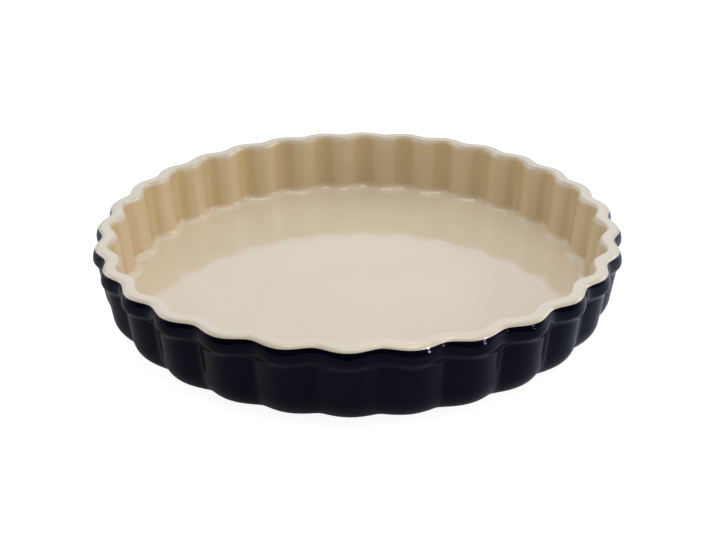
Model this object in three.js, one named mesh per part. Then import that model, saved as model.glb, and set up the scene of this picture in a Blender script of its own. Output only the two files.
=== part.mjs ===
// A fluted stoneware tart dish: one fired clay body under three glaze coats.
// Millimetres, +Z up. The origin is on the table, under the middle of the dish.
import * as THREE from "three";

const { degToRad } = THREE.MathUtils;

// Whole dish, measured over the glaze
const overallDiameter = 280; // across two opposite collar crests
const overallHeight = 43.5; // table to rim top
const glazeThickness = 0.5;

// Flutes, crest to valley, all in step round the dish
const fluteCount = 30;
const collarFluteDepth = 3.9;
const wallFluteDepth = 4; // just under the collar
const lowerWallFluteDepth = 2.9; // where the wall turns under
const insideFluteDepth = 3.4;
const collarSoftness = 0.6; // small is broad arches with creases between, large is an even wave
const wallSoftness = 0.25;
const insideSoftness = 0.5;

// Rim and the collar round its outside
const rimWidth = 8.7; // collar face to inside wall
const rimOuterRound = 2;
const rimInnerRound = 2.5;
const colourLineTurn = degToRad(42); // where the two glazes meet, turned up the outer round
const collarHeight = 8.4; // rim top to wall top
const collarUnderHeight = 2; // sloping underside of the collar
const collarStep = 2.1; // collar face to wall face

// Wall and floor
const outsideDraft = degToRad(5.8);
const insideDraft = degToRad(2.6);
const baseRound = 17; // outside turn from wall to base
const floorFillet = 3.6;
const floorThickness = 5.7; // inside floor to the clay of the underside recess

// Foot ring of bare clay and the shallow recess inside it
const footInset = 2.6; // flat strip of the base between its turn and the foot ring
const footWidth = 6;
const footHeight = 1;
const recessDepth = 1.8; // table to the clay of the recess

// Facets: each flute has a crest, a valley and two steps from one to the other
const columnsPerFlute = 6;
const baseRoundSteps = 3;

const columns = columnsPerFlute * fluteCount;
const quarterTurn = Math.PI / 2;
const collarRadius = overallDiameter / 2;
const wallTopRadius = collarRadius - collarStep;
const wallTop = overallHeight - collarHeight;
const turnHeight = footHeight + baseRound;
const wallFoot = turnHeight - baseRound * Math.sin(outsideDraft);
const wallFootRadius = wallTopRadius - (wallTop - wallFoot) * Math.tan(outsideDraft);
const turnRadius = wallFootRadius - baseRound * Math.cos(outsideDraft);
const footOuterRadius = turnRadius - footInset;
const footInnerRadius = footOuterRadius - footWidth;
const insideRadius = collarRadius - rimWidth;
const floorLevel = recessDepth + floorThickness;

const bareClay = { color: 0xc9b08c, roughness: 0.85 };
const creamGlaze = { color: 0xdccbb0, roughness: 0.12 };
const darkGlaze = { color: 0x14151f, roughness: 0.1 };

// One ring of the dish: its radius on the crests, its height and its flutes
function ringAt(radius, height, depth = 0, softness = 1) {
  return { radius, height, depth, softness };
}

// From the foot ring out along the base and round its turn, as far as the foot of the wall
function baseRings() {
  const rings = [ringAt(footOuterRadius, footHeight)];
  for (let step = 0; step <= baseRoundSteps; step += 1) {
    const share = step / baseRoundSteps;
    const turn = (quarterTurn - outsideDraft) * share - quarterTurn;
    const radius = turnRadius + baseRound * Math.cos(turn);
    const height = turnHeight + baseRound * Math.sin(turn);
    const depth = lowerWallFluteDepth * Math.sin(quarterTurn * share);
    rings.push(ringAt(radius, height, depth, wallSoftness));
  }
  return rings;
}

// From the top of the wall up the collar to the line where the dark glaze ends
function collarRings() {
  const roundHeight = overallHeight - rimOuterRound;
  const lineRadius = collarRadius - rimOuterRound * (1 - Math.cos(colourLineTurn));
  const lineHeight = roundHeight + rimOuterRound * Math.sin(colourLineTurn);
  return [
    ringAt(wallTopRadius, wallTop, wallFluteDepth, wallSoftness),
    ringAt(collarRadius, wallTop + collarUnderHeight, collarFluteDepth, collarSoftness),
    ringAt(collarRadius, roundHeight, collarFluteDepth, collarSoftness),
    ringAt(lineRadius, lineHeight, collarFluteDepth, collarSoftness),
  ];
}

// From the top of the rim down the inside wall to the middle of the floor
function insideRings() {
  const roundHeight = overallHeight - rimInnerRound;
  const filletTop = floorLevel + floorFillet;
  const footRadius = insideRadius - (roundHeight - filletTop) * Math.tan(insideDraft);
  return [
    ringAt(collarRadius - rimOuterRound, overallHeight, collarFluteDepth, collarSoftness),
    ringAt(insideRadius + rimInnerRound, overallHeight, insideFluteDepth, insideSoftness),
    ringAt(insideRadius, roundHeight, insideFluteDepth, insideSoftness),
    ringAt(footRadius, filletTop, insideFluteDepth, insideSoftness),
    ringAt(footRadius - floorFillet, floorLevel, insideFluteDepth, insideSoftness),
    ringAt(0, floorLevel),
  ];
}

// Direction into the clay from the stretch between two rings
function inward(from, to) {
  return new THREE.Vector2(from.height - to.height, to.radius - from.radius).normalize();
}

// The same rings moved one glaze thickness into the clay
function underGlaze(rings) {
  const directions = rings.slice(1).map((ring, index) => inward(rings[index], ring));
  return rings.map((ring, index) => {
    const before = directions[index - 1] ?? directions[index];
    const after = directions[index] ?? before;
    const shift = before.clone().add(after);
    shift.multiplyScalar(glazeThickness / (1 + before.dot(after)));
    return { ...ring, radius: ring.radius + shift.x, height: ring.height + shift.y };
  });
}

// Flute profile: 1 on a crest and 0 in a valley
function arch(phase, softness) {
  const rise = Math.hypot(Math.cos(phase / 2), softness);
  return (rise - softness) / (Math.hypot(1, softness) - softness);
}

// Corners of one ring, with a crest straight in front at -Y
function ringCorners({ radius, height, depth, softness }) {
  const corners = [];
  for (let column = 0; column < columns; column += 1) {
    const angle = (4 * quarterTurn * column) / columns - quarterTurn;
    const phase = (4 * quarterTurn * (column % columnsPerFlute)) / columnsPerFlute;
    const reach = radius - depth * (1 - arch(phase, softness));
    corners.push(new THREE.Vector3(reach * Math.cos(angle), reach * Math.sin(angle), height));
  }
  return corners;
}

// A solid turned from a chain of rings that runs with the solid on its left. Each facet is split
// along its shorter diagonal, so bodies that touch share the same triangles.
function turned(name, chain, look) {
  const rings = chain.map(ringCorners);
  const triangles = [];
  for (let upper = 1; upper < rings.length; upper += 1) {
    for (let column = 0; column < columns; column += 1) {
      const next = (column + 1) % columns;
      const [a, b] = [rings[upper - 1][column], rings[upper - 1][next]];
      const [d, c] = [rings[upper][column], rings[upper][next]];
      const halves = a.distanceTo(c) < b.distanceTo(d) ? [a, b, c, a, c, d] : [a, b, d, b, c, d];
      triangles.push(...halves);
    }
  }
  const geometry = new THREE.BufferGeometry().setFromPoints(triangles);
  geometry.computeVertexNormals();
  const mesh = new THREE.Mesh(geometry, new THREE.MeshStandardMaterial(look));
  mesh.name = name;
  return mesh;
}

const darkRings = [...baseRings(), ...collarRings()];
const colourLine = darkRings.length - 1;
const glazeSkin = [...darkRings, ...insideRings()];
const claySkin = underGlaze(glazeSkin);

function stonewareBody() {
  const footAndRecess = [
    ringAt(0, recessDepth),
    ringAt(footInnerRadius, recessDepth),
    ringAt(footInnerRadius, 0),
    ringAt(footOuterRadius, 0),
  ];
  return turned("stoneware_body", [...footAndRecess, ...claySkin], bareClay);
}

function interiorGlaze() {
  const clay = claySkin.slice(colourLine);
  const face = glazeSkin.slice(colourLine);
  return turned("interior_glaze", [...clay.toReversed(), ...face], creamGlaze);
}

function exteriorGlaze() {
  const clay = claySkin.slice(0, colourLine + 1);
  return turned("exterior_glaze", [...darkRings, ...clay.toReversed(), darkRings[0]], darkGlaze);
}

function undersideGlaze() {
  const face = recessDepth - glazeThickness;
  const chain = [
    ringAt(0, face),
    ringAt(footInnerRadius, face),
    ringAt(footInnerRadius, recessDepth),
    ringAt(0, recessDepth),
  ];
  return turned("underside_glaze", chain, darkGlaze);
}

const dish = new THREE.Group();
dish.add(stonewareBody(), interiorGlaze(), exteriorGlaze(), undersideGlaze());

export default dish;
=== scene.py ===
# %% [markdown]
# A fluted tart dish in glazed stoneware
#
# The dish is one piece of fired clay. A cream glaze covers the inside and the top of the rim, a
# near-black blue glaze covers the outside, and a ring of bare clay is left underneath for it to stand on.
# A finished model of it, with plain facets, is loaded first as a frame: it fixes the size and the place
# of each coat. The lesson then makes each coat again with smooth curves and a real finish.

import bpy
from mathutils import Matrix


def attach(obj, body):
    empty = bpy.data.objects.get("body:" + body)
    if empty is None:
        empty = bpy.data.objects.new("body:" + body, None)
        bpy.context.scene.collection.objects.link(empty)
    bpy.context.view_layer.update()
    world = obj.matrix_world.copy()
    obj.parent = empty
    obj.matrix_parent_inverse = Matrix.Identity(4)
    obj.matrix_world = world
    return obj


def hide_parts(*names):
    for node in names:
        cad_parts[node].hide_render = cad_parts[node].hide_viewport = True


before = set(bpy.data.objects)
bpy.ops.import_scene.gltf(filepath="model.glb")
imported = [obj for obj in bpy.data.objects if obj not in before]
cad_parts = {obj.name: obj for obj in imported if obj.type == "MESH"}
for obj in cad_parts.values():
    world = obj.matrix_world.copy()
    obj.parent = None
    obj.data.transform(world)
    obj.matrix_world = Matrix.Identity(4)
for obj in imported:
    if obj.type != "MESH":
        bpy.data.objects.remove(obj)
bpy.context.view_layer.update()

import math
from collections import namedtuple

import bpy
from mathutils import Quaternion, Vector

print("frame parts:", sorted(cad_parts))

# %% [markdown]
# The camera
#
# The picture to match looks down into the dish from the front. A camera could be placed by eye, but then
# an error of its place would pass for an error of shape. This one was worked out from the outline of the
# rim: how much smaller the far flutes are gives the distance, and how flat the rim looks gives the
# height. The lens follows from the image width, because Blender measures a lens against the width of a
# sensor. Three turns are put together as quaternions, so that the small roll comes last.

# %% Camera
IMAGE_WIDTH = 716
FOCAL_PIXELS = 930.8
SENSOR_WIDTH = 36
NEAREST_SEEN = 0.01
CAMERA_PLACE = Vector((0.0159, -0.4616, 0.2479))
CAMERA_HEADING = math.radians(1.98)
CAMERA_DIP = math.radians(27.23)
CAMERA_ROLL = math.radians(-0.47)
QUARTER_TURN = math.radians(90)


def add_object(name, data):
    thing = bpy.data.objects.new(name, data)
    bpy.context.scene.collection.objects.link(thing)
    return thing


def add_camera():
    data = bpy.data.cameras.new("photo_camera")
    data.sensor_width = SENSOR_WIDTH
    data.lens = FOCAL_PIXELS * SENSOR_WIDTH / IMAGE_WIDTH
    data.clip_start = NEAREST_SEEN
    camera = add_object("photo_camera", data)
    heading = Quaternion((0, 0, 1), CAMERA_HEADING)
    tilt = Quaternion((1, 0, 0), QUARTER_TURN - CAMERA_DIP)
    roll = Quaternion((0, 0, 1), CAMERA_ROLL)
    camera.rotation_mode = "QUATERNION"
    camera.rotation_quaternion = heading @ tilt @ roll
    camera.location = CAMERA_PLACE
    bpy.context.scene.camera = camera
    return camera


photo_camera = add_camera()
print("lens", round(photo_camera.data.lens, 2), "mm")

# %% [markdown]
# Sizes of the dish
#
# The sizes that the whole dish shares come first, in millimetres. Its flutes change from place to place.
# Each has a depth, a softness for its creases, and a balance: at 0 the crests are broad and the valleys
# are creases, at 1 it is the other way round, and halfway is an even zigzag. One such law for all of them
# keeps the flutes of the rim, the collar and both sides of the wall in step.

# %% Sizes
OVERALL_RADIUS = 140
OVERALL_HEIGHT = 44.1
GLAZE = 0.5
FLUTES = 30

Flute = namedtuple("Flute", "depth softness balance")
RIM_FLUTE = Flute(3.5, 0.6, 0)
COLLAR_FLUTE = Flute(4.0, 0.55, 0)
WALL_FLUTE = Flute(4.3, 0.12, 0)
LOWER_WALL_FLUTE = Flute(3.7, 0.16, 0)
RIM_EDGE_FLUTE = Flute(4.1, 0.55, 0.45)
INSIDE_FLUTE = Flute(4.4, 0.5, 0.75)
NO_FLUTE = Flute(0, 1, 0)

print(FLUTES, "flutes, dish", 2 * OVERALL_RADIUS, "mm across and", OVERALL_HEIGHT, "mm high")

# %% [markdown]
# The outer round of the rim
#
# A round pot is drawn as an outline on one side of its axis, and each point of the outline becomes a
# ring. A curve object could draw it, but its handles would hide the sizes. Here the outline is a list of
# rings, and a round in it has a centre, a size and two turns, so it can be measured on the picture and
# put in as numbers. The first round is where the two glazes meet. It runs from the colour line up to the
# flat of the rim.

# %% Outer round of the rim
OUTWARD = 0
UPWARD = 90
INWARD = 180
DOWNWARD = -90

FACE_ROUND = 10.0
RIM_OUTER_ROUND = 2.8
RIM_ROUND_STEPS = 7
COLOUR_LINE_TURN = 33

Ring = namedtuple("Ring", "radius height depth softness balance")


def blend(first, last, share):
    return [a + (b - a) * share for a, b in zip(first, last)]


def along_round(centre, size, turns, flutes, steps):
    """Rings round an arc. Turns are degrees up from outward, and a negative size is a hollow."""
    rings = []
    for step in range(steps + 1):
        share = step / steps
        turn = math.radians(turns[0] + (turns[1] - turns[0]) * share)
        radius = centre[0] + size * math.cos(turn)
        height = centre[1] + size * math.sin(turn)
        rings.append(Ring(radius, height, *blend(*flutes, share)))
    return rings


def rim_outer_rings():
    line_turn = math.radians(COLOUR_LINE_TURN)
    line_radius = OVERALL_RADIUS - FACE_ROUND * (1 - math.cos(line_turn))
    centre = line_radius - RIM_OUTER_ROUND * math.cos(line_turn), OVERALL_HEIGHT - RIM_OUTER_ROUND
    turns = COLOUR_LINE_TURN, UPWARD
    return along_round(centre, RIM_OUTER_ROUND, turns, (RIM_FLUTE, RIM_FLUTE), RIM_ROUND_STEPS)


rim_round = rim_outer_rings()
print("colour line", round(rim_round[0].height, 1), "mm up")

# %% [markdown]
# The outline of the outside
#
# From the foot ring the outline runs out along the base, round a wide turn and up the wall, which leans
# out a little. At the top a soft hollow leads out to the collar: a bead below, and above it a face that
# leans in towards the rim. Rounds are joined where their directions agree, so the centre of each follows
# from the end of the one before, and no crease shows in the gloss.

# %% Outside outline
DRAFT = 5.8
BASE_TURN = 17
FOOT_HEIGHT = 1
FOOT_INSET = 2.6
HOLLOW = 6.2
BEAD_ROUND = 3.6
BEAD_TURN = -38
FACE_STEPS = 12
BEAD_STEPS = 9
HOLLOW_STEPS = 9
WALL_STEPS = 12
BASE_STEPS = 18


def between(first, last, steps):
    """Rings on the straight stretch between two rings, without the two ends."""
    return [Ring(*blend(first, last, step / steps)) for step in range(1, steps)]


def next_centre(ring, size, turn):
    """Centre of a round that starts at a ring, facing the given turn."""
    turn = math.radians(turn)
    return ring.radius - size * math.cos(turn), ring.height - size * math.sin(turn)


def collar_rings():
    """From the colour line down over the collar and into the hollow under it."""
    centre = next_centre(rim_round[0], FACE_ROUND, COLOUR_LINE_TURN)
    turns = COLOUR_LINE_TURN, OUTWARD
    face = along_round(centre, FACE_ROUND, turns, (RIM_FLUTE, COLLAR_FLUTE), FACE_STEPS)
    centre = next_centre(face[-1], BEAD_ROUND, OUTWARD)
    turns = OUTWARD, BEAD_TURN
    bead = along_round(centre, BEAD_ROUND, turns, (COLLAR_FLUTE, COLLAR_FLUTE), BEAD_STEPS)
    centre = next_centre(bead[-1], -HOLLOW, BEAD_TURN)
    turns = BEAD_TURN, -DRAFT
    hollow = along_round(centre, -HOLLOW, turns, (COLLAR_FLUTE, WALL_FLUTE), HOLLOW_STEPS)
    return face + bead[1:] + hollow[1:]


def base_rings(wall_top):
    """From the foot of the wall round its turn, where the flutes fade out, and in along the base."""
    draft = math.radians(DRAFT)
    height = FOOT_HEIGHT + BASE_TURN
    foot_height = height - BASE_TURN * math.sin(draft)
    foot_radius = wall_top.radius - (wall_top.height - foot_height) * math.tan(draft)
    centre = foot_radius - BASE_TURN * math.cos(draft), height
    turns = -DRAFT, DOWNWARD
    rings = along_round(centre, BASE_TURN, turns, (LOWER_WALL_FLUTE, LOWER_WALL_FLUTE), BASE_STEPS)
    for step, ring in enumerate(rings):
        fade = math.cos(QUARTER_TURN * step / BASE_STEPS)
        rings[step] = ring._replace(depth=ring.depth * fade)
    return [*rings, Ring(centre[0] - FOOT_INSET, FOOT_HEIGHT, *NO_FLUTE)]


def dark_skin():
    collar = collar_rings()
    base = base_rings(collar[-1])
    downward = collar + between(collar[-1], base[0], WALL_STEPS) + base
    return downward[::-1]


dark_outline = dark_skin()
print("outside outline:", len(dark_outline), "rings")

# %% [markdown]
# The outline of the inside
#
# The cream coat starts at the colour line on the outer edge of the rim. It runs over the nearly flat rim
# to a crisp inner edge, eases from there into a steep wall and turns through a fillet to the floor. The
# flutes go on down to the floor, so its edge is scalloped, and they fade out as the rings come in to the
# middle. The fading is left to the rings between: they blend from fluted to plain, like every other
# stretch.

# %% Inside outline
RIM_WIDTH = 6.75
EDGE_ROUND = 1.2
EDGE_TURN = 148
LIP_ROUND = 6.0
INSIDE_DRAFT = 2.9
FLOOR_LEVEL = 7.5
FLOOR_FILLET = 5.0
PLAIN_FLOOR_SHARE = 0.85
RIM_TOP_STEPS = 4
EDGE_STEPS = 8
LIP_STEPS = 8
INSIDE_WALL_STEPS = 9
FILLET_STEPS = 12
FLOOR_STEPS = 6


def inner_edge_rings():
    """From the flat of the rim over its inner edge to the top of the wall."""
    centre = OVERALL_RADIUS - RIM_WIDTH, OVERALL_HEIGHT - EDGE_ROUND
    turns = UPWARD, EDGE_TURN
    edge = along_round(centre, EDGE_ROUND, turns, (RIM_EDGE_FLUTE, RIM_EDGE_FLUTE), EDGE_STEPS)
    centre = next_centre(edge[-1], LIP_ROUND, EDGE_TURN)
    turns = EDGE_TURN, INWARD - INSIDE_DRAFT
    lip = along_round(centre, LIP_ROUND, turns, (RIM_EDGE_FLUTE, INSIDE_FLUTE), LIP_STEPS)
    return edge + lip[1:]


def fillet_rings(wall_top):
    """The hollow turn from the foot of the inside wall to the floor."""
    drop = wall_top.height - FLOOR_LEVEL - FLOOR_FILLET
    foot_radius = wall_top.radius - drop * math.tan(math.radians(INSIDE_DRAFT))
    centre = foot_radius - FLOOR_FILLET, FLOOR_LEVEL + FLOOR_FILLET
    turns = INWARD - INSIDE_DRAFT, UPWARD
    return along_round(centre, -FLOOR_FILLET, turns, (INSIDE_FLUTE, INSIDE_FLUTE), FILLET_STEPS)


def cream_skin():
    edge = inner_edge_rings()
    fillet = fillet_rings(edge[-1])
    rim_top = between(rim_round[-1], edge[0], RIM_TOP_STEPS)
    wall = between(edge[-1], fillet[0], INSIDE_WALL_STEPS)
    plain = Ring(fillet[-1].radius * PLAIN_FLOOR_SHARE, FLOOR_LEVEL, *NO_FLUTE)
    middle = Ring(0, FLOOR_LEVEL, *NO_FLUTE)
    fading = between(fillet[-1], plain, FLOOR_STEPS)
    floor = [*fading, plain, *between(plain, middle, FLOOR_STEPS), middle]
    return rim_round + rim_top + edge + wall + fillet + floor


cream_outline = cream_skin()
print("inside outline:", len(cream_outline), "rings")

# %% [markdown]
# The hidden side of a coat
#
# A coat of glaze is a thin shell. A Solidify modifier could thicken a single skin, but the clay needs the
# same inner side, so it is worked out once as an outline. At each ring the way in lies midway between the
# directions of the two stretches that meet there. Nobody sees this side, so every fourth ring is enough
# for it. A coat runs along the inner side first and then back over the face.

# %% Coats
HIDDEN_EVERY = 4


def into_clay(first, last):
    return Vector((first.height - last.height, last.radius - first.radius)).normalized()


def behind(skin):
    """The rings of a skin moved one glaze thickness into the clay."""
    middle = [skin[index] for index in range(HIDDEN_EVERY, len(skin) - HIDDEN_EVERY, HIDDEN_EVERY)]
    rings = [skin[0], *middle, skin[-1]]
    ways = [into_clay(first, last) for first, last in zip(rings, rings[1:])]
    moved = []
    for index, ring in enumerate(rings):
        before = ways[max(index - 1, 0)]
        after = ways[min(index, len(ways) - 1)]
        shift = (before + after) * GLAZE / (1 + before.dot(after))
        moved.append(ring._replace(radius=max(ring.radius + shift.x, 0), height=ring.height + shift.y))
    return moved


def coat(skin):
    return [*reversed(behind(skin)), *skin]


dark_shell = coat(dark_outline)
outlines = {
    "dark_coat": [*dark_shell, dark_shell[0]],
    "cream_coat": coat(cream_outline),
}
print({name: len(rings) for name, rings in outlines.items()})

# %% [markdown]
# The clay and the underside
#
# The clay fills what the coats leave, and only its foot ring shows. Inside the ring lies a shallow recess
# with a dark coat of its own, which creeps a little down the ring at its edge. Both are plain turned
# shapes, so they are outlines like the others, with flutes of no depth, and the same builder can turn
# them.

# %% Clay and underside
FOOT_WIDTH = 6
FOOT_EDGE = 0.4
FOOT_EDGE_STEPS = 4
RECESS = 1.8
CREEP_WIDTH = 0.6
CREEP_DEPTH = 0.3

foot_outer = dark_outline[0].radius
foot_inner = foot_outer - FOOT_WIDTH


def plain_ring(radius, height):
    return Ring(radius, height, *NO_FLUTE)


def foot_edge(radius, turns):
    return along_round((radius, FOOT_EDGE), FOOT_EDGE, turns, (NO_FLUTE, NO_FLUTE), FOOT_EDGE_STEPS)


def foot_rings():
    recess = [plain_ring(0, RECESS), plain_ring(foot_inner, RECESS)]
    inner_edge = foot_edge(foot_inner + FOOT_EDGE, (-INWARD, DOWNWARD))
    outer_edge = foot_edge(foot_outer - FOOT_EDGE, (DOWNWARD, OUTWARD))
    return recess + inner_edge + outer_edge


def underside_rings():
    face = RECESS - GLAZE
    return [
        plain_ring(0, face),
        plain_ring(foot_inner / 2, face),
        plain_ring(foot_inner - CREEP_WIDTH, face),
        plain_ring(foot_inner, face - CREEP_DEPTH),
        plain_ring(foot_inner, RECESS),
        plain_ring(0, RECESS),
    ]


outlines["clay_body"] = [*foot_rings(), *behind(dark_outline), *behind(cream_outline)]
outlines["underside_coat"] = underside_rings()
print("foot ring", round(2 * foot_outer, 1), "mm across")

# %% [markdown]
# A builder for fluted pieces
#
# All round the dish the same flute repeats. Thirty of them could be drawn one by one, but Geometry Nodes
# make one and copy it, and one node group serves every piece. It takes the outline, the number of flutes,
# the columns across a flute and the finish. Two helpers keep the rest short: one adds a node and fills
# its inputs with values or links, the other does a sum with a Math node.

# %% Start the builder
COLUMNS = 24
BUILDER_INPUTS = {
    "Outline": "NodeSocketGeometry",
    "Flutes": "NodeSocketInt",
    "Columns": "NodeSocketInt",
    "Finish": "NodeSocketMaterial",
}


def add_node(tree, kind, settings=None, inputs=None):
    node = tree.nodes.new(kind)
    for key, value in (settings or {}).items():
        setattr(node, key, value)
    for key, value in (inputs or {}).items():
        if isinstance(value, bpy.types.NodeSocket):
            tree.links.new(value, node.inputs[key])
        else:
            node.inputs[key].default_value = value
    return node


def do_math(tree, operation, first, second=None):
    inputs = {0: first} if second is None else {0: first, 1: second}
    return add_node(tree, "ShaderNodeMath", {"operation": operation}, inputs).outputs[0]


def start_builder():
    tree = bpy.data.node_groups.new("fluted_turning", "GeometryNodeTree")
    for name, kind in BUILDER_INPUTS.items():
        tree.interface.new_socket(name, in_out="INPUT", socket_type=kind)
    tree.interface.new_socket("Dish", in_out="OUTPUT", socket_type="NodeSocketGeometry")
    return tree


fluted_turning = start_builder()
given = add_node(fluted_turning, "NodeGroupInput").outputs
print("the builder takes:", ", ".join(BUILDER_INPUTS))

# %% [markdown]
# Rows, columns and ring values
#
# One flute starts as a flat grid, with a row for each ring of the outline and a few columns across. A
# point's number tells its row and its column. The column gives its phase, from half a turn before the
# crest to half a turn after, and the row tells which outline point to ask for the radius, the height and
# the flute there.

# %% Rows and columns
FULL_TURN = 2 * math.pi


def flute_grid(tree):
    """A flat grid, with the row and the phase of its points."""
    count = add_node(tree, "GeometryNodeAttributeDomainSize", inputs={"Geometry": given["Outline"]})
    rows = count.outputs["Point Count"]
    columns = do_math(tree, "ADD", given["Columns"], 1.0)
    grid = add_node(tree, "GeometryNodeMeshGrid", inputs={"Vertices X": columns, "Vertices Y": rows})
    index = add_node(tree, "GeometryNodeInputIndex").outputs[0]
    row = do_math(tree, "FLOORED_MODULO", index, rows)
    column = do_math(tree, "FLOOR", do_math(tree, "DIVIDE", index, rows))
    share = do_math(tree, "SUBTRACT", do_math(tree, "DIVIDE", column, given["Columns"]), 0.5)
    return grid.outputs["Mesh"], row, do_math(tree, "MULTIPLY", share, FULL_TURN)


def ring_value(tree, name, row):
    value = add_node(tree, "GeometryNodeInputNamedAttribute", {"data_type": "FLOAT"}, {"Name": name})
    settings = {"data_type": "FLOAT", "domain": "POINT"}
    inputs = {"Geometry": given["Outline"], "Value": value.outputs["Attribute"], "Index": row}
    return add_node(tree, "GeometryNodeSampleIndex", settings, inputs).outputs["Value"]


flat_flute, flute_row, flute_phase = flute_grid(fluted_turning)
ring_values = {name: ring_value(fluted_turning, name, flute_row) for name in Ring._fields}
print("looked up for each point:", ", ".join(ring_values))

# %% [markdown]
# The shape of a flute
#
# On the real dish the outside flutes are broad arches with creases between them, and inside it is nearly
# the other way round. So the shape mixes two arches: one stands up between creases, the other hangs
# between them, and the balance says how much of each. The result is 1 on a crest and 0 in a valley. It is
# kept on the mesh under the name crest, because the glazes need it too.

# %% Shape one flute


def arch_height(tree, half, softness):
    """1 where half is 1 or -1, with a crease that falls to 0 where half is 0."""
    square = do_math(tree, "MULTIPLY", softness, softness)
    rise = do_math(tree, "SQRT", do_math(tree, "ADD", do_math(tree, "MULTIPLY", half, half), square))
    full = do_math(tree, "SQRT", do_math(tree, "ADD", square, 1.0))
    above = do_math(tree, "SUBTRACT", rise, softness)
    return do_math(tree, "DIVIDE", above, do_math(tree, "SUBTRACT", full, softness))


def flute_height(tree, phase, softness, balance):
    half_phase = do_math(tree, "MULTIPLY", phase, 0.5)
    standing = arch_height(tree, do_math(tree, "COSINE", half_phase), softness)
    hanging = arch_height(tree, do_math(tree, "SINE", half_phase), softness)
    upturned = do_math(tree, "SUBTRACT", 1.0, hanging)
    inputs = {"Factor": balance, "A": standing, "B": upturned}
    return add_node(tree, "ShaderNodeMix", {"data_type": "FLOAT"}, inputs).outputs["Result"]


def shape_flute(tree, mesh, phase, ring):
    crest = flute_height(tree, phase, ring["softness"], ring["balance"])
    cut = do_math(tree, "MULTIPLY", ring["depth"], do_math(tree, "SUBTRACT", 1.0, crest))
    reach = do_math(tree, "SUBTRACT", ring["radius"], cut)
    angle = do_math(tree, "DIVIDE", phase, given["Flutes"])
    sideways = do_math(tree, "MULTIPLY", reach, do_math(tree, "SINE", angle))
    forward = do_math(tree, "MULTIPLY", reach, do_math(tree, "COSINE", angle))
    back = do_math(tree, "MULTIPLY", forward, -1.0)
    place = add_node(tree, "ShaderNodeCombineXYZ", inputs={"X": sideways, "Y": back, "Z": ring["height"]})
    inputs = {"Geometry": mesh, "Position": place.outputs[0]}
    placed = add_node(tree, "GeometryNodeSetPosition", inputs=inputs)
    settings = {"data_type": "FLOAT", "domain": "POINT"}
    inputs = {"Geometry": placed.outputs[0], "Name": "crest", "Value": crest}
    return add_node(tree, "GeometryNodeStoreNamedAttribute", settings, inputs).outputs[0]


one_flute = shape_flute(fluted_turning, flat_flute, flute_phase, ring_values)
print("one flute:", len(fluted_turning.nodes), "nodes")

# %% [markdown]
# Thirty flutes from one
#
# The flute is copied onto thirty points at the axis, each turned a little further. The copies are made
# real and welded, so the finished mesh has no seams. Shading is smooth all over, apart from edges that
# bend sharply, such as the foot of a coat, and the finish goes on last.

# %% Copy the flute round
WELD_GAP = 0.000002
SHARP_BEND = math.radians(45)


def copy_round(tree, flute):
    points = add_node(tree, "GeometryNodePoints", inputs={"Count": given["Flutes"]})
    index = add_node(tree, "GeometryNodeInputIndex").outputs[0]
    turn = do_math(tree, "DIVIDE", do_math(tree, "MULTIPLY", index, FULL_TURN), given["Flutes"])
    turned = add_node(tree, "ShaderNodeCombineXYZ", inputs={"Z": turn})
    inputs = {"Points": points.outputs[0], "Instance": flute, "Rotation": turned.outputs[0]}
    copies = add_node(tree, "GeometryNodeInstanceOnPoints", inputs=inputs)
    real = add_node(tree, "GeometryNodeRealizeInstances", inputs={"Geometry": copies.outputs[0]})
    inputs = {"Geometry": real.outputs[0], "Distance": WELD_GAP}
    return add_node(tree, "GeometryNodeMergeByDistance", inputs=inputs).outputs[0]


def shade(tree, mesh):
    smooth = add_node(tree, "GeometryNodeSetShadeSmooth", inputs={"Geometry": mesh})
    bend = add_node(tree, "GeometryNodeInputMeshEdgeAngle").outputs["Unsigned Angle"]
    sharp = do_math(tree, "GREATER_THAN", bend, SHARP_BEND)
    inputs = {"Geometry": smooth.outputs[0], "Selection": sharp, "Shade Smooth": False}
    return add_node(tree, "GeometryNodeSetShadeSmooth", {"domain": "EDGE"}, inputs).outputs[0]


whole_round = shade(fluted_turning, copy_round(fluted_turning, one_flute))
finish_inputs = {"Geometry": whole_round, "Material": given["Finish"]}
finished = add_node(fluted_turning, "GeometryNodeSetMaterial", inputs=finish_inputs)
add_node(fluted_turning, "NodeGroupOutput", inputs={0: finished.outputs[0]})
print("flute builder:", len(fluted_turning.nodes), "nodes")

# %% [markdown]
# Outlines as points
#
# Geometry Nodes read a mesh, so each outline becomes a bare row of points that carry the ring values. A
# named attribute holds each value, under the same name as in the ring. Blender works in metres, so
# lengths are scaled here, once.

# %% Outline points
MM = 0.001
LENGTHS = ("radius", "height", "depth")


def outline_mesh(name, rings):
    mesh = bpy.data.meshes.new(name + "_outline")
    mesh.from_pydata([(ring.radius * MM, 0, ring.height * MM) for ring in rings], [], [])
    for key in Ring._fields:
        scale = MM if key in LENGTHS else 1
        numbers = [getattr(ring, key) * scale for ring in rings]
        mesh.attributes.new(key, "FLOAT", "POINT").data.foreach_set("value", numbers)
    return mesh


outline_points = {name: outline_mesh(name, rings) for name, rings in outlines.items()}
print({name: len(mesh.vertices) for name, mesh in outline_points.items()})

# %% [markdown]
# Bare clay
#
# The foot ring is left without glaze so that the dish does not stick to the kiln shelf. Fired clay is
# matt and sandy: fine grains vary its tone and roughen its surface. A photograph of clay could be wrapped
# round it, but noise on the object's own coordinates has no seam and no edge. Tone and bumps come from
# noise of one scale.

# %% Bare clay
CLAY_TONE = (0.58, 0.43, 0.26, 1)
GRAIN_TONE = (0.40, 0.28, 0.16, 1)
GRAIN_SCALE = 900.0
GRAIN_DETAIL = 4.0
GRAIN_HEIGHT = 0.0002
CLAY_ROUGHNESS = 0.85


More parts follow.
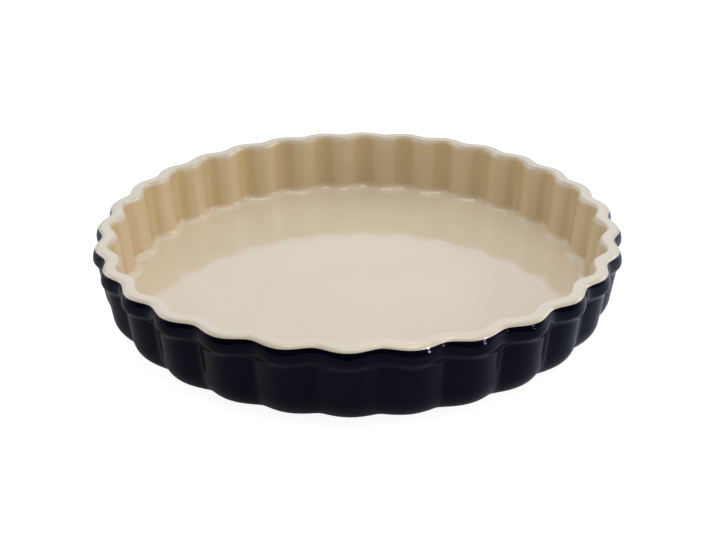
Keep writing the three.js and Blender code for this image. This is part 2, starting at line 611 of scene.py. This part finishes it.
def new_material(name):
    material = bpy.data.materials.new(name)
    material.use_nodes = True
    return material, material.node_tree, material.node_tree.nodes["Principled BSDF"]


def object_place(tree):
    return add_node(tree, "ShaderNodeTexCoord").outputs["Object"]


def clouds(tree, scale, detail=3.0):
    inputs = {"Vector": object_place(tree), "Scale": scale, "Detail": detail}
    return add_node(tree, "ShaderNodeTexNoise", {"noise_dimensions": "3D"}, inputs).outputs["Fac"]


def ripple(tree, shader, scale, height):
    inputs = {"Strength": 1.0, "Distance": height, "Height": clouds(tree, scale, 1.0)}
    bump = add_node(tree, "ShaderNodeBump", inputs=inputs)
    tree.links.new(bump.outputs["Normal"], shader.inputs["Normal"])


def mix_tones(tree, share, first, last):
    inputs = {"Factor": share, "A": first, "B": last}
    return add_node(tree, "ShaderNodeMix", {"data_type": "RGBA"}, inputs).outputs["Result"]


def bare_clay():
    material, tree, shader = new_material("bare_clay")
    grains = clouds(tree, GRAIN_SCALE, GRAIN_DETAIL)
    tree.links.new(mix_tones(tree, grains, CLAY_TONE, GRAIN_TONE), shader.inputs["Base Color"])
    shader.inputs["Roughness"].default_value = CLAY_ROUGHNESS
    ripple(tree, shader, GRAIN_SCALE, GRAIN_HEIGHT)
    return material


clay = bare_clay()
print(clay.name, len(clay.node_tree.nodes), "nodes")

# %% [markdown]
# Dark glaze
#
# The outside glaze is so dark that its blue only shows where light catches it. It is a little thinner,
# and so a little lighter, along the crests. Its gloss is low and tinted blue, so that the pale table does
# not wash it out to grey. A fired glaze is never quite flat, so a very low ripple breaks up its
# reflections.

# %% Dark glaze
DARK_TONE = (0.0006, 0.0006, 0.0022, 1)
THIN_TONE = (0.0016, 0.0016, 0.0048, 1)
THIN_SCALE = 40.0
THIN_SHARES = (0.3, 1.0)
GLOSS_SCALE = 60.0
DARK_ROUGHNESS = (0.07, 0.13)
DARK_GLOSS = 0.3
DARK_GLOSS_TONE = (0.55, 0.61, 1.0, 1)
RIPPLE_SCALE = 55.0
DARK_RIPPLE = 0.00003


def fit(tree, value, span=(0.0, 1.0), to=(0.0, 1.0), curve="LINEAR"):
    """A value moved from one span to another and kept inside it."""
    inputs = {"Value": value, "From Min": span[0], "From Max": span[1], "To Min": to[0], "To Max": to[1]}
    return add_node(tree, "ShaderNodeMapRange", {"interpolation_type": curve}, inputs).outputs["Result"]


def crest_value(tree):
    return add_node(tree, "ShaderNodeAttribute", {"attribute_name": "crest"}).outputs["Fac"]


def polish(tree, shader, roughness, ripple_height):
    gloss = fit(tree, clouds(tree, GLOSS_SCALE), to=roughness)
    tree.links.new(gloss, shader.inputs["Roughness"])
    ripple(tree, shader, RIPPLE_SCALE, ripple_height)


def dark_glaze():
    material, tree, shader = new_material("dark_glaze")
    patches = fit(tree, clouds(tree, THIN_SCALE), to=THIN_SHARES)
    thin = do_math(tree, "MULTIPLY", crest_value(tree), patches)
    tree.links.new(mix_tones(tree, thin, DARK_TONE, THIN_TONE), shader.inputs["Base Color"])
    shader.inputs["Specular IOR Level"].default_value = DARK_GLOSS
    shader.inputs["Specular Tint"].default_value = DARK_GLOSS_TONE
    polish(tree, shader, DARK_ROUGHNESS, DARK_RIPPLE)
    return material


dark = dark_glaze()
print(dark.name, len(dark.node_tree.nodes), "nodes")

# %% [markdown]
# Where the cream is wall
#
# The cream is palest on the floor and the rim, and warmer on the wall. On the ridges the pale of the rim
# reaches a little further down. Painting that by hand would take thirty strokes, but the mesh knows
# enough: height above the table tells the wall from the floor and the rim, distance from the axis keeps
# the rim's outer edge pale, and the crest value tells a panel from a ridge.

# %% Wall mask
BLACK = (0, 0, 0, 1)
WHITE = (1, 1, 1, 1)
WALL_STARTS = 0.12
WALL_ENDS = 0.92
RIM_STARTS = 0.985
RIDGE_LIFT = 1.055
INSIDE_REACH = OVERALL_RADIUS - 6


def axis_distance(tree, place):
    inputs = {0: place, 1: (1, 1, 0)}
    flat = add_node(tree, "ShaderNodeVectorMath", {"operation": "MULTIPLY"}, inputs).outputs[0]
    return add_node(tree, "ShaderNodeVectorMath", {"operation": "LENGTH"}, {0: flat}).outputs["Value"]


def wall_mask(tree, place, up, panel_shade):
    """1 on the inside wall, and 0 on the floor and the rim."""
    lift = fit(tree, panel_shade, to=(RIDGE_LIFT, 1.0))
    ramp = add_node(tree, "ShaderNodeValToRGB", inputs={"Fac": do_math(tree, "MULTIPLY", up, lift)})
    stops = ramp.color_ramp.elements
    stops[1].position = RIM_STARTS
    stops[1].color = BLACK
    for position in (WALL_STARTS, WALL_ENDS):
        stops.new(position).color = WHITE
    inside = do_math(tree, "LESS_THAN", axis_distance(tree, place), INSIDE_REACH * MM)
    return do_math(tree, "MULTIPLY", ramp.outputs["Color"], inside)


print("wall from", WALL_STARTS, "to", WALL_ENDS, "of the inside height")

# %% [markdown]
# Cream glaze
#
# The inside glaze is glossy and nearly opaque. On the wall the panels between the ridges are painted a
# little darker than the ridges: painted shade in the hollows. A plain cream would look like plastic, so
# soft clouds vary the tone by a few parts in a hundred, and the same low ripple as outside breaks up
# reflections.

# %% Cream glaze
RIM_TONE = (0.625, 0.552, 0.443, 1)
RIDGE_TONE = (0.656, 0.523, 0.326, 1)
# painted shade: the panels between the ridges are darker than the ridges
SHADED_PANEL_TONE = (0.602, 0.46, 0.262, 1)
FLOOR_TONE = (0.64, 0.552, 0.428, 1)
SHADED_PANEL_CRESTS = (0.25, 0.72)
CLOUD_SCALE = 28.0
CLOUD_SHADES = (0.95, 1.05)
CREAM_ROUGHNESS = (0.06, 0.12)
CREAM_RIPPLE = 0.00004


def ease(tree, value, span, to=(0.0, 1.0)):
    return fit(tree, value, span, to, "SMOOTHSTEP")


def cream_tones(tree):
    place = object_place(tree)
    height = add_node(tree, "ShaderNodeSeparateXYZ", inputs={0: place}).outputs["Z"]
    up = fit(tree, height, (FLOOR_LEVEL * MM, OVERALL_HEIGHT * MM))
    # painted shade in the panel hollows: 0 on the ridges, 1 in the panels
    panel_shade = ease(tree, crest_value(tree), SHADED_PANEL_CRESTS)
    level = mix_tones(tree, up, FLOOR_TONE, RIM_TONE)
    wall = mix_tones(tree, panel_shade, RIDGE_TONE, SHADED_PANEL_TONE)
    return mix_tones(tree, wall_mask(tree, place, up, panel_shade), level, wall)


def cream_glaze():
    material, tree, shader = new_material("cream_glaze")
    shades = fit(tree, clouds(tree, CLOUD_SCALE), to=CLOUD_SHADES)
    inputs = {0: cream_tones(tree), "Scale": shades}
    clouded = add_node(tree, "ShaderNodeVectorMath", {"operation": "SCALE"}, inputs)
    tree.links.new(clouded.outputs[0], shader.inputs["Base Color"])
    polish(tree, shader, CREAM_ROUGHNESS, CREAM_RIPPLE)
    return material


cream = cream_glaze()
print(cream.name, len(cream.node_tree.nodes), "nodes")

# %% [markdown]
# The four pieces
#
# Now the builder runs once for each piece. Its inputs are set by socket identifier, since a modifier
# knows them by that. The result is copied into a plain mesh and the modifier goes, so that the finished
# piece stands by itself. Each piece takes the place of one part of the frame, which is then hidden. All
# of them ride on the one body, because nothing on the dish moves.

# %% Make the pieces
PIECES = [
    ("clay_body", "stoneware_body", "stoneware", clay),
    ("cream_coat", "interior_glaze", "cream_glaze", cream),
    ("dark_coat", "exterior_glaze", "dark_glaze", dark),
    ("underside_coat", "underside_glaze", "dark_glaze", dark),
]


def turn_piece(name, finish):
    piece = add_object(name, outline_points[name])
    modifier = piece.modifiers.new("turning", "NODES")
    modifier.node_group = fluted_turning
    values = {"Flutes": FLUTES, "Columns": COLUMNS, "Finish": finish}
    for socket in fluted_turning.interface.items_tree:
        if socket.name in values:
            modifier[socket.identifier] = values[socket.name]
    bpy.context.view_layer.update()
    ready = piece.evaluated_get(bpy.context.evaluated_depsgraph_get())
    mesh = bpy.data.meshes.new_from_object(ready)
    piece.modifiers.clear()
    piece.data = mesh
    mesh.name = name
    return piece


for name, node, slot, finish in PIECES:
    piece = turn_piece(name, finish)
    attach(piece, "root")
    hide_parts(node)
    print(name, len(piece.data.vertices), "points,", len(piece.data.polygons), "faces")

# %% [markdown]
# The table
#
# The dish stands on a plain white table that runs off into a white background. A glossy glaze mirrors its
# table, and a full white one would turn the dark sides grey. So the table is white to the camera and
# dimmer in reflections, most of all in front and to the left, where the dark glaze is deepest.

# %% Table
TABLE_REACH = 3.0
TABLE_TONE = (0.25, 0.25, 0.25, 1)
TABLE_GLOW = 0.92
MIRRORED_TONE = (0.8, 0.87, 1.16, 1)
MIRRORED_WAY = (0.5, 1, 0)
MIRRORED_FADE = {"span": (-0.15, 0.16), "to": (0.075, 0.48)}


def shiny_ray(tree, path):
    return do_math(tree, "MAXIMUM", path["Is Glossy Ray"], path["Is Transmission Ray"])


def white_table():
    material, tree, shader = new_material("white_table")
    shader.inputs["Base Color"].default_value = TABLE_TONE
    shader.inputs["Roughness"].default_value = 1.0
    shader.inputs["Specular IOR Level"].default_value = 0.0
    inputs = {0: object_place(tree), 1: MIRRORED_WAY}
    along = add_node(tree, "ShaderNodeVectorMath", {"operation": "DOT_PRODUCT"}, inputs).outputs["Value"]
    path = add_node(tree, "ShaderNodeLightPath").outputs
    mirrored = do_math(tree, "MULTIPLY", shiny_ray(tree, path), ease(tree, along, **MIRRORED_FADE))
    seen = do_math(tree, "MAXIMUM", path["Is Camera Ray"], mirrored)
    tone = mix_tones(tree, path["Is Camera Ray"], MIRRORED_TONE, WHITE)
    tree.links.new(tone, shader.inputs["Emission Color"])
    tree.links.new(do_math(tree, "MULTIPLY", seen, TABLE_GLOW), shader.inputs["Emission Strength"])
    return material


def add_table():
    near, far = -TABLE_REACH, TABLE_REACH
    mesh = bpy.data.meshes.new("table")
    mesh.from_pydata([(near, near, 0), (far, near, 0), (far, far, 0), (near, far, 0)], [], [(0, 1, 2, 3)])
    table = add_object("table", mesh)
    mesh.materials.append(white_table())
    return table


table = add_table()
print("table", 2 * TABLE_REACH, "m wide")

# %% [markdown]
# The room
#
# A glossy glaze also shows whatever stands round it. The room could be built from walls and cards, but a
# world that changes with direction does the same and stands in no lamp's way. It is dim in front, with a
# pale sheet high at the back and a low strip under it. A soft fill from the front is left out of
# reflections, so that it lights the cream without greying the dark. Colours are shown as they are,
# without a film look.

# %% Room
ROOM = {"span": (-0.6, 0.0), "to": (0.05, 0.3)}
FRONT_FILL = {"span": (-0.5, 0.3), "to": (0.3, 0.08)}
BACK = {"span": (0.0, 0.4)}
HIGH_SHEET = {"span": (0.28, 0.42)}
LOW_STRIP = {"span": (0.1, 0.28), "to": (1.0, 0.0)}
SHEET_LIGHT = 0.4
ROOM_TONE = (1.0, 1.0, 0.96, 1)
MIRRORED_ROOM_TONE = (0.85, 0.98, 1.2, 1)


def room_strength(tree, shiny):
    way = add_node(tree, "ShaderNodeTexCoord").outputs["Generated"]
    parts = add_node(tree, "ShaderNodeSeparateXYZ", inputs={0: way}).outputs
    room = ease(tree, parts["Y"], **ROOM)
    matt = do_math(tree, "SUBTRACT", 1.0, shiny)
    fill = do_math(tree, "MULTIPLY", ease(tree, parts["Y"], **FRONT_FILL), matt)
    sheet_share = do_math(tree, "MAXIMUM", shiny, SHEET_LIGHT)
    sheet = do_math(tree, "MULTIPLY", ease(tree, parts["Z"], **HIGH_SHEET), sheet_share)
    strip = do_math(tree, "MULTIPLY", ease(tree, parts["Z"], **LOW_STRIP), shiny)
    back = ease(tree, parts["Y"], **BACK)
    backdrop = do_math(tree, "MULTIPLY", do_math(tree, "ADD", sheet, strip), back)
    return do_math(tree, "ADD", do_math(tree, "ADD", room, fill), backdrop)


def light_room():
    world = bpy.data.worlds.new("white_room")
    bpy.context.scene.world = world
    world.use_nodes = True
    tree = world.node_tree
    path = add_node(tree, "ShaderNodeLightPath").outputs
    shiny = shiny_ray(tree, path)
    strength = do_math(tree, "MAXIMUM", room_strength(tree, shiny), path["Is Camera Ray"])
    tone = mix_tones(tree, shiny, ROOM_TONE, MIRRORED_ROOM_TONE)
    tone = mix_tones(tree, path["Is Camera Ray"], tone, WHITE)
    background = tree.nodes["Background"]
    tree.links.new(tone, background.inputs["Color"])
    tree.links.new(strength, background.inputs["Strength"])
    return world


bpy.context.scene.view_settings.view_transform = "Standard"
white_room = light_room()
print(white_room.name, len(white_room.node_tree.nodes), "nodes")

# %% [markdown]
# The lamps
#
# Soft light comes from wide lamps above, at the front right and on both sides. The right one is the
# stronger of the two side lamps, which gives each panel of the far wall a light and a dark edge. Two
# small lamps with narrow beams put the pair of bright points on the collar. Area lamps were chosen,
# because their size sets how soft a shadow is.

# %% Lamps
Lamp = namedtuple("Lamp", "place size watts tone aim beam", defaults=((0, 0, 0), 180))
LAMPS = {
    "top_lamp": Lamp((0.05, -0.15, 1.4), (0.9, 0.75), 7.2, (1.0, 1.0, 1.0)),
    "front_lamp": Lamp((0.85, -0.7, 0.95), (1.0, 0.8), 2.5, (1.0, 0.985, 0.96)),
    "right_lamp": Lamp((1.2, 0.2, 0.5), (0.9, 0.4), 3.8, (1.0, 0.97, 0.94)),
    "left_lamp": Lamp((-1.2, 0.25, 0.5), (0.9, 0.4), 2.1, (1.0, 0.96, 0.91)),
}
GLINT_SPOT = (0.036, -0.134, 0.04)
GLINT = Lamp((0.97, -0.68, 0), (0.05, 0.05), 0.0014, (1.0, 0.97, 0.92), GLINT_SPOT, 3.4)
GLINT_HEIGHTS = {"low_glint": 0.15, "high_glint": 0.42}


def add_lamp(name, lamp):
    data = bpy.data.lights.new(name, "AREA")
    data.shape = "RECTANGLE"
    data.size, data.size_y = lamp.size
    data.energy = lamp.watts
    data.color = lamp.tone
    data.spread = math.radians(lamp.beam)
    shining = Vector(lamp.aim) - Vector(lamp.place)
    thing = add_object(name, data)
    thing.location = lamp.place
    thing.rotation_euler = shining.to_track_quat("-Z", "Y").to_euler()


for name, height in GLINT_HEIGHTS.items():
    LAMPS[name] = GLINT._replace(place=(*GLINT.place[:2], height))
for name, lamp in LAMPS.items():
    add_lamp(name, lamp)
print("lamps:", ", ".join(LAMPS))
